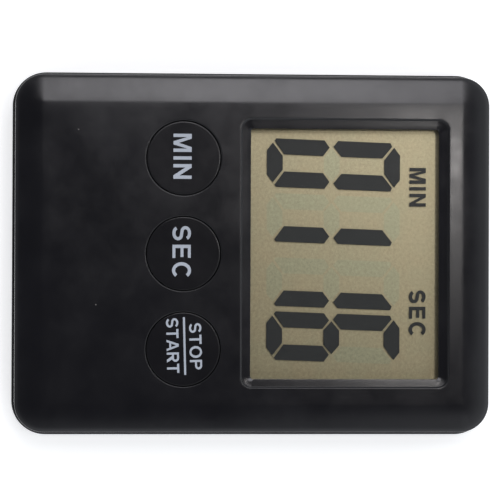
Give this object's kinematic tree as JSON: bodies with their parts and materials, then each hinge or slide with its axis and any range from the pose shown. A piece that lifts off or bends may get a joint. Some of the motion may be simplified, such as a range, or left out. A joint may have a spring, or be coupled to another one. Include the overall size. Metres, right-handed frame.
{
  "type": "kitchen timer",
  "caption": "Slim digital countdown timer lying on its back: wide display above a row of round push buttons, with a fold-out stand, magnets and a sliding battery door behind.",
  "frame": {"origin": "centre of the flat back face, on the plane that the timer rests on when it lies on its back", "axes": "+Z out of the display, +Y towards the top of the display, +X to the display's right"},
  "size_m": [0.062, 0.082, 0.01],
  "materials": {
    "black_plastic": "fine-grained satin",
    "button_plastic": "satin",
    "display_film": "fine-grained anti-glare",
    "display_glass": "clear",
    "reflector_film": "silvered film",
    "grey_foam": "open-cell",
    "connector_rubber": "matte",
    "keypad_rubber": "matte",
    "carbon": "matte",
    "board_laminate": "solder mask over glass-fibre laminate",
    "epoxy": "potted",
    "component": "ceramic",
    "steel": "zinc plated",
    "nickel": "nickel plated",
    "brass": "plain",
    "ceramic": "silvered piezo ceramic",
    "red_insulation": "PVC",
    "black_insulation": "PVC"
  },
  "bodies": {
    "case": {"front_case": "black_plastic", "rear_case": "black_plastic", "lcd_front_polarizer": "display_film", "lcd_front_glass": "display_glass", "lcd_rear_glass": "display_glass", "lcd_reflector": "reflector_film", "lcd_foam_pad": "grey_foam", "zebra_connector": "connector_rubber", "keypad_mat": "keypad_rubber", "main_board": "board_laminate", "chip_blob": "epoxy", "boost_coil": "epoxy", "quartz_crystal": "nickel", "driver_transistor": "epoxy", "chip_capacitor_1": "component", "chip_capacitor_2": "component", "chip_resistor": "epoxy", "piezo_disc": "brass", "piezo_ceramic": "ceramic", "piezo_wire_red": "red_insulation", "piezo_wire_black": "black_insulation", "battery_cell": "nickel", "battery_contact_positive": "steel", "battery_contact_negative": "steel", "magnet_left": "nickel", "magnet_right": "nickel", "case_screw_1": "steel", "case_screw_2": "steel", "case_screw_3": "steel", "case_screw_4": "steel", "board_screw_1": "steel", "board_screw_2": "steel", "board_screw_3": "steel", "board_screw_4": "steel", "board_screw_5": "steel", "board_screw_6": "steel"},
    "min_key": {"min_button": "button_plastic", "min_carbon_pill": "carbon"},
    "sec_key": {"sec_button": "button_plastic", "sec_carbon_pill": "carbon"},
    "start_stop_key": {"start_stop_button": "button_plastic", "start_stop_carbon_pill": "carbon"},
    "stand": {"stand": "black_plastic"},
    "battery_door": {"battery_door": "black_plastic"}
  },
  "joints": [
    {"name": "min_press", "type": "slide", "parent": "case", "child": "min_key", "axis": [0, 0, -1], "range_m": [0, 0.0005], "stiffness_N_per_m": 2000, "deforming": ["keypad_mat"]},
    {"name": "sec_press", "type": "slide", "parent": "case", "child": "sec_key", "axis": [0, 0, -1], "range_m": [0, 0.0005], "stiffness_N_per_m": 2000, "deforming": ["keypad_mat"]},
    {"name": "start_stop_press", "type": "slide", "parent": "case", "child": "start_stop_key", "axis": [0, 0, -1], "range_m": [0, 0.0005], "stiffness_N_per_m": 2000, "deforming": ["keypad_mat"]},
    {"name": "stand_hinge", "type": "hinge", "parent": "case", "child": "stand", "pos_m": [0, -0.0145, 0.00095], "axis": [-1, 0, 0], "range_deg": [0, 110]},
    {"name": "battery_door_slide", "type": "slide", "parent": "case", "child": "battery_door", "axis": [0, -1, 0], "range_m": [0, 0.019]}
  ]
}
